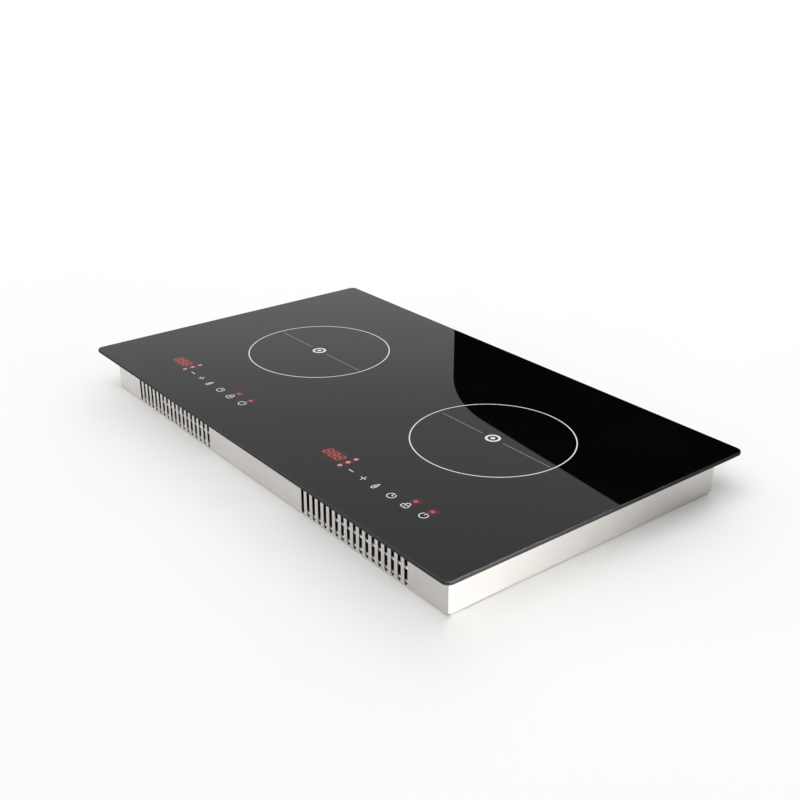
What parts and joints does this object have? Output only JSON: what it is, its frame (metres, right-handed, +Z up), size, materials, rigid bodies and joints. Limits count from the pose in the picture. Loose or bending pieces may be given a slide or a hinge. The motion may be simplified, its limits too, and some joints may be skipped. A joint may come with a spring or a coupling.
{
  "type": "induction cooktop",
  "caption": "Drop-in induction cooktop: black glass plate over a folded steel tray, touch rows in front, vent slots, a coil, power board and fan for each zone.",
  "frame": {"origin": "middle of the tray's flat underside, which the cooktop stands on", "axes": "+X right along the control edge, +Y towards the back with the cable gland, +Z up through the glass"},
  "size_m": [0.73, 0.43, 0.056],
  "materials": {
    "ceramic_glass": "polished black ceramic glass, printed on top",
    "tray_steel": "satin",
    "frame_steel": "satin",
    "guard_steel": "satin",
    "screw_steel": "zinc plated",
    "foam_rubber": "matt foam",
    "silicone": "satin",
    "black_plastic": "matt",
    "white_plastic": "matt",
    "circuit_board": "solder mask",
    "copper": "enamelled",
    "capacitor_case": "moulded case",
    "mica": "mica sheet",
    "ferrite": "sintered",
    "aluminium": "mill finish",
    "display_filter": "red filter",
    "ribbon_cable": "flat cable"
  },
  "bodies": {
    "casing": {"glass_plate": "ceramic_glass", "foam_seal": "foam_rubber", "glass_frame": "frame_steel", "silicone_bead": "silicone", "frame_screw_1": "screw_steel", "frame_screw_2": "screw_steel", "frame_screw_3": "screw_steel", "base_tray": "tray_steel", "cable_gland": "black_plastic", "gland_nut": "black_plastic", "terminal_block": "white_plastic", "filter_board": "circuit_board", "filter_choke": "copper", "filter_capacitor": "capacitor_case", "vent_guard_left": "guard_steel", "mica_disc_left": "mica", "coil_winding_left": "copper", "coil_former_left": "white_plastic", "ferrite_bar_left_1": "ferrite", "ferrite_bar_left_2": "ferrite", "ferrite_bar_left_3": "ferrite", "ferrite_bar_left_4": "ferrite", "heat_sensor_left": "silicone", "coil_plate_left": "aluminium", "coil_lead_left": "copper", "board_carrier_left": "black_plastic", "power_board_left": "circuit_board", "heat_sink_left": "aluminium", "power_transistor_left": "ferrite", "bridge_rectifier_left": "ferrite", "resonant_capacitor_left": "capacitor_case", "fan_frame_left": "black_plastic", "touch_board_left": "circuit_board", "digit_display_left": "display_filter", "touch_carrier_left": "black_plastic", "ribbon_cable_left": "ribbon_cable", "vent_guard_right": "guard_steel", "mica_disc_right": "mica", "coil_winding_right": "copper", "coil_former_right": "white_plastic", "ferrite_bar_right_1": "ferrite", "ferrite_bar_right_2": "ferrite", "ferrite_bar_right_3": "ferrite", "ferrite_bar_right_4": "ferrite", "heat_sensor_right": "silicone", "coil_plate_right": "aluminium", "coil_lead_right": "copper", "board_carrier_right": "black_plastic", "power_board_right": "circuit_board", "heat_sink_right": "aluminium", "power_transistor_right": "ferrite", "bridge_rectifier_right": "ferrite", "resonant_capacitor_right": "capacitor_case", "fan_frame_right": "black_plastic", "touch_board_right": "circuit_board", "digit_display_right": "display_filter", "touch_carrier_right": "black_plastic", "ribbon_cable_right": "ribbon_cable"},
    "left_rotor": {"fan_rotor_left": "black_plastic"},
    "right_rotor": {"fan_rotor_right": "black_plastic"}
  },
  "joints": [
    {"name": "left_fan_spin", "type": "hinge", "parent": "casing", "child": "left_rotor", "pos_m": [-0.172, 0.101, 0.0126], "axis": [0, 0, 1], "continuous": true},
    {"name": "right_fan_spin", "type": "hinge", "parent": "casing", "child": "right_rotor", "pos_m": [0.172, 0.101, 0.0126], "axis": [0, 0, 1], "continuous": true}
  ]
}
